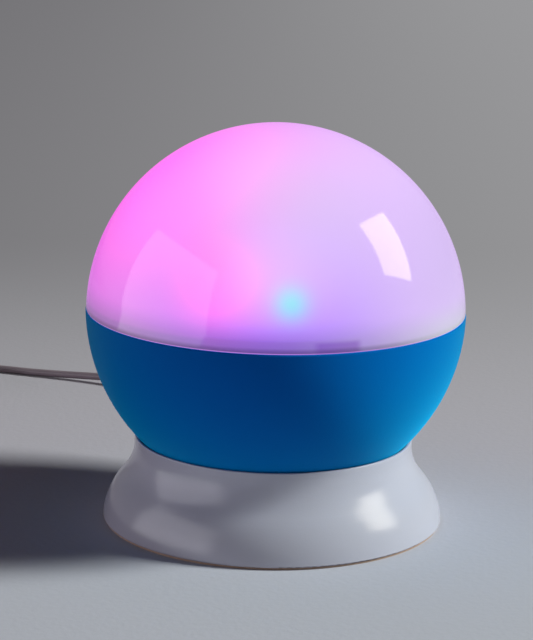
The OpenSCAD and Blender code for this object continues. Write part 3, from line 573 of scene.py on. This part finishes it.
# bowl, base and foot
bowl = {
    "colour": (0.0, 0.045, 0.415), "shade": (0.0, 0.041, 0.395), "roughness": 0.42, "unevenGloss": 0.06,
    "specular": 0.02, "sheen": 1.0, "sheenRoughness": 0.7, "sheenTint": (0.0, 0.55, 0.92),
    "grainScale": 1500, "grainDepth": 0.00003, "cloudScale": 30,
}
dress(moulded("bowlBlue", bowl), "bowl")

shell = {
    "colour": (0.575, 0.568, 0.655), "shade": (0.545, 0.54, 0.625), "roughness": 0.19, "unevenGloss": 0.05,
    "grainScale": 1900, "grainDepth": 0.000015, "cloudScale": 26, "ior": 1.5,
}
dress(moulded("shellWhite", shell), "base_shell", "base_plate", "battery_door", "battery_tray",
      "power_button", "mode_button", "spin_button")

foot = {
    "colour": tone(196, 168, 150), "shade": tone(160, 132, 114), "roughness": 0.75, "unevenGloss": 0.2,
    "grainScale": 900, "grainDepth": 0.00008, "cloudScale": 120,
}
dress(moulded("footRubber", foot), "foot_ring")
print("stage: cover, bowl and base")


# what is inside
metals = {
    "steel": {"colour": (0.62, 0.62, 0.64), "shade": (0.5, 0.5, 0.52), "roughness": 0.3, "metallic": 1.0,
              "grainScale": 1400, "grainDepth": 0.00001, "unevenGloss": 0.15},
    "brass": {"colour": (0.72, 0.5, 0.2), "shade": (0.6, 0.4, 0.15), "roughness": 0.28, "metallic": 1.0,
              "grainScale": 1400, "grainDepth": 0.00001, "unevenGloss": 0.12},
}
steel = moulded("platedSteel", metals["steel"])
dress(steel, "plate_screws", "door_screw", "contact_plates", "contact_springs", "gear_motor", "motor_screws",
      "motor_shaft", "spindle_screws", "hub_retainer", "board_screws", "gear_screws", "lead_plug")
dress(moulded("turnedBrass", metals["brass"]), "thrust_washer")

darkPlastic, paleSocket, redSheath = (0.02, 0.02, 0.022), (0.78, 0.76, 0.69), (0.5, 0.03, 0.03)
bareMetal = {"colour": (0.62, 0.62, 0.64), "roughness": 0.28, "metallic": 1.0}
boardGreen = {"colour": (0.02, 0.16, 0.07), "shade": (0.015, 0.12, 0.05), "roughness": 0.35, "cloudScale": 300}
plastics = {
    "natural": {"colour": (0.78, 0.76, 0.69), "shade": (0.72, 0.7, 0.62), "roughness": 0.42, "grainScale": 900},
    "black": {"colour": (0.018, 0.018, 0.02), "shade": (0.026, 0.026, 0.028), "roughness": 0.5,
              "grainScale": 1200},
    "mask": {"colour": (0.016, 0.016, 0.018), "shade": (0.024, 0.023, 0.026), "roughness": 0.62,
             "grainScale": 1300, "grainDepth": 0.00005},
    "cell": {"colour": (0.06, 0.09, 0.13), "shade": (0.05, 0.08, 0.12), "roughness": 0.3, "zones": [
        (((20.3, None), None, None), bareMetal), (((None, -20.3), None, None), bareMetal)]},
    "board": boardGreen,
    "control": {**boardGreen, "zones": [
        ((None, None, (4.62, None)), {"colour": darkPlastic}),
        (((12, 19), None, (11.55, None)), bareMetal),
        (((None, -19.5), None, (4.62, None)), {"colour": paleSocket}),
        (((20, None), None, (4.62, None)), {"colour": paleSocket})]},
    "ledWire": {"colour": redSheath, "roughness": 0.4, "zones": [
        (((None, -2.02), None, None), {"colour": darkPlastic}),
        (((-2.02, -0.67), None, None), {"colour": (0.6, 0.42, 0.03)}),
        (((0.67, 2.02), None, None), {"colour": (0.02, 0.3, 0.06)}),
        (((2.02, None), None, None), {"colour": (0.03, 0.1, 0.5)})]},
    "motorWire": {"colour": (0.03, 0.06, 0.45), "roughness": 0.4, "zones": [
        (((-23, None), None, None), {"colour": redSheath})]},
    "cellWire": {"colour": darkPlastic, "roughness": 0.4},
}
wearers = {
    "natural": ("motor_pinion", "drive_gear", "spindle", "lamp_post", "led_holder", "power_plunger",
                "mode_plunger", "spin_plunger"),
    "black": ("tact_switches", "dc_jack"), "mask": ("star_mask",), "cell": ("battery_cells",),
    "board": ("led_board",), "control": ("control_board",), "ledWire": ("led_wires",),
    "motorWire": ("motor_wires",), "cellWire": ("battery_wires",),
}
for name, look in plastics.items():
    dress(moulded(name, look), *wearers[name])

lens = {"roughness": 0.12, "unevenGloss": 0.05, "grainDepth": 0.000004, "cloudScale": 350}
leds = {
    "led_red": {"colour": (0.7, 0.08, 0.12), "shade": (0.6, 0.05, 0.09),
                "glow": (1.0, 0.12, 0.3), "glowStrength": 1.2},
    "led_green": {"colour": (0.2, 0.6, 0.3), "shade": (0.15, 0.5, 0.25),
                  "glow": (0.1, 0.5, 0.2), "glowStrength": 0.1},
    "led_blue": {"colour": (0.2, 0.5, 0.8), "shade": (0.15, 0.42, 0.7),
                 "glow": (0.15, 0.75, 1.0), "glowStrength": 1.1},
    "led_white": {"colour": (0.8, 0.8, 0.75), "shade": (0.7, 0.7, 0.64),
                  "glow": (0.8, 0.8, 0.75), "glowStrength": 0.05},
}
for name, look in leds.items():
    dress(moulded(name, {**lens, **look}), name)
print("stage: inside pieces")


# printed marks on the keys, standing on the curve of their caps
keys = {
    "height": 9, "capCurve": {"radius": 25, "middle": 34.68, "height": -0.6},
    "line": 0.36, "lift": 0.05, "sink": 0.2, "ink": {"colour": tone(96, 100, 112), "roughness": 0.5},
    "power": {"body": "power_key", "across": -4, "radius": 1.7, "gap": 36, "steps": 40, "bar": (0.5, 2.3)},
    "mode": {"body": "mode_key", "across": 8, "radius": 2.1, "waist": 0.9, "points": 5, "hollow": 0.66},
    "spin": {"body": "spin_key", "across": 20, "radius": 1.75, "start": -60, "end": 215, "steps": 36,
             "head": {"half": 0.75, "tip": 0.03, "long": 1.275}},
}
ink = moulded("keyInk", keys["ink"])


def onCap(key):  # seen from behind, u is to the right and v is up
    def onto(u, v, depth):
        curve, x = keys["capCurve"], key["across"] - u
        z = keys["height"] + v
        radius = curve["middle"] + math.sqrt(curve["radius"] ** 2 - (z - curve["height"]) ** 2) + depth
        return x, math.sqrt(radius * radius - x * x), z
    return onto


def ribbon(pairs, onto, closed=False):  # flat mark between two lines, laid onto a surface
    vertices, faces = [], []
    for inner, outer in pairs:
        for depth in (keys["lift"], -keys["sink"]):
            vertices += [onto(*inner, depth), onto(*outer, depth)]
    for i in range(len(pairs) if closed else len(pairs) - 1):
        a, b = 4 * i, 4 * ((i + 1) % len(pairs))
        faces += [(a, a + 1, b + 1, b), (a + 2, b + 2, b + 3, a + 3),
                  (a + 1, a + 3, b + 3, b + 1), (a, b, b + 2, a + 2)]
    if not closed:
        last = 4 * (len(pairs) - 1)
        faces += [(0, 2, 3, 1), (last, last + 1, last + 3, last + 2)]
    return vertices, faces


def bend(radius, start, end, steps):  # the two lines of a round stroke
    outer = radius + keys["line"]
    return list(zip(arc(0, 0, radius, start, end, steps), arc(0, 0, outer, start, end, steps)))


power, mode, spin = keys["power"], keys["mode"], keys["spin"]
ring = bend(power["radius"], 90 + power["gap"], 450 - power["gap"], power["steps"])
bar = [((-keys["line"] / 2, h), (keys["line"] / 2, h)) for h in power["bar"]]
piece("powerMark", joined([ribbon(ring, onCap(power)), ribbon(bar, onCap(power))]), ink, power["body"])

star = []
for k in range(2 * mode["points"]):
    a = math.radians(90 + 180 * k / mode["points"])
    tip = Vector((math.cos(a), math.sin(a))) * (mode["waist"] if k % 2 else mode["radius"])
    star.append((mode["hollow"] * tip, tip))
piece("modeMark", ribbon(star, onCap(mode), True), ink, mode["body"])

turnArc = bend(spin["radius"], spin["start"], spin["end"], spin["steps"])
a, head = math.radians(spin["end"]), spin["head"]
outward, onward = Vector((math.cos(a), math.sin(a))), Vector((-math.sin(a), math.cos(a)))
middle = (spin["radius"] + keys["line"] / 2) * outward
arrow = [(middle - wide * outward + ahead * onward, middle + wide * outward + ahead * onward)
         for wide, ahead in ((head["half"], 0), (head["tip"], head["long"]))]
piece("spinMark", joined([ribbon(turnArc, onCap(spin)), ribbon(arrow, onCap(spin))]), ink, spin["body"])
print("stage: key marks")


# small parts on the light board
board = {
    "top": 67.2, "bevel": 0.06,
    "resistor": {"turns": (30, 150, 210, 330), "radius": 12.3, "size": (3.2, 1.6, 0.6),
                 "shorter": 0.9, "narrower": 0.1, "cap": 0.5, "capHigher": 0.05,
                 "look": {"colour": darkPlastic, "roughness": 0.35}},
    "joint": {"across": [1.35 * k for k in range(-2, 3)], "radius": 0.58, "height": 0.45, "steps": 20,
              "dome": [(0, 0), (1, 0), (0.92, 0.35), (0.6, 0.75), (0.25, 0.97), (0, 1)]},
    "solder": {"colour": (0.66, 0.66, 0.68), "shade": (0.55, 0.55, 0.57), "roughness": 0.24, "metallic": 1.0,
               "grainScale": 700, "grainDepth": 0.00003},
}
resistor, joint = board["resistor"], board["joint"]
long, wide, high = resistor["size"]
bodies, caps = [], []
for turn in resistor["turns"]:
    c, s = math.cos(math.radians(turn)), math.sin(math.radians(turn))
    x, y = resistor["radius"] * c, resistor["radius"] * s
    bodies.append(block((x, y, board["top"]), (long - resistor["shorter"], wide - resistor["narrower"], high),
                        turn + 90, board["bevel"]))
    for end in (-1, 1):
        reach = end * (long - resistor["cap"]) / 2
        caps.append(block((x - s * reach, y + c * reach, board["top"]),
                          (resistor["cap"], wide, high + resistor["capHigher"]), turn + 90, board["bevel"]))
solder = moulded("solder", board["solder"])
piece("resistors", joined(bodies), moulded("resistor", resistor["look"]), "base")
piece("resistorCaps", joined(caps), solder, "base")
drop, corners = lathe([(joint["radius"] * r, joint["height"] * h) for r, h in joint["dome"]], joint["steps"])
piece("solderJoints", joined([([(x + across, y, z + board["top"]) for x, y, z in drop], corners)
                              for across in joint["across"]]), solder, "base")

# springs of the cells
springs = {
    "rows": [-7.6 - 10.8 * k for k in range(4)], "ends": (-1, 1, -1, 1), "foot": 25.08, "height": 8.25,
    "wire": 0.35, "wide": 3.4, "narrow": 2.0, "long": 4.0, "turns": 3.5, "steps": 150, "sides": 10,
}
coils = []
for row, end in zip(springs["rows"], springs["ends"]):
    line = []
    for k in range(springs["steps"] + 1):
        t = k / springs["steps"]
        r = springs["wide"] + (springs["narrow"] - springs["wide"]) * t
        a = 2 * math.pi * springs["turns"] * t
        line.append((end * (springs["foot"] - springs["long"] * t), row + r * math.cos(a),
                     springs["height"] + r * math.sin(a)))
    coils.append(tube(line, springs["wire"], springs["sides"]))
piece("springs", joined(coils), steel, "base", ("contact_springs",), 40)

# contacts of the plug, and the tongue that carries them
plug = {
    "tongue": 2.6, "margin": 0.02, "halfInside": 5.59, "ceiling": 4.09,
    "tongueLook": {"colour": (0.8, 0.8, 0.8), "roughness": 0.45, "metallic": 0.0},
    "contacts": (-3.5, -1.2, 1.2, 3.5), "size": (1.0, 7.5, 0.12), "from": 0.8, "sunk": 0.06, "bevel": 0.02,
    "gold": {"colour": (0.83, 0.62, 0.26), "roughness": 0.25, "metallic": 1.0},
}
low, high = ([c / mm for c in corner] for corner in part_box("usb_shell"))
centre = (low[0] + high[0]) / 2
tongue = ((centre - plug["halfInside"], centre + plug["halfInside"]), None,
          (low[2] + plug["tongue"] - plug["margin"], low[2] + plug["ceiling"]))
dress(moulded("plugShell", {**metals["steel"], "zones": [(tongue, plug["tongueLook"])]}), "usb_shell")
along = low[1] + plug["from"] + plug["size"][1] / 2
strips = [block((centre + across, along, low[2] + plug["tongue"] - plug["sunk"]), plug["size"], 0, plug["bevel"])
          for across in plug["contacts"]]
piece("plugContacts", joined(strips), moulded("contactGold", plug["gold"]), "base")
print("stage: small parts")
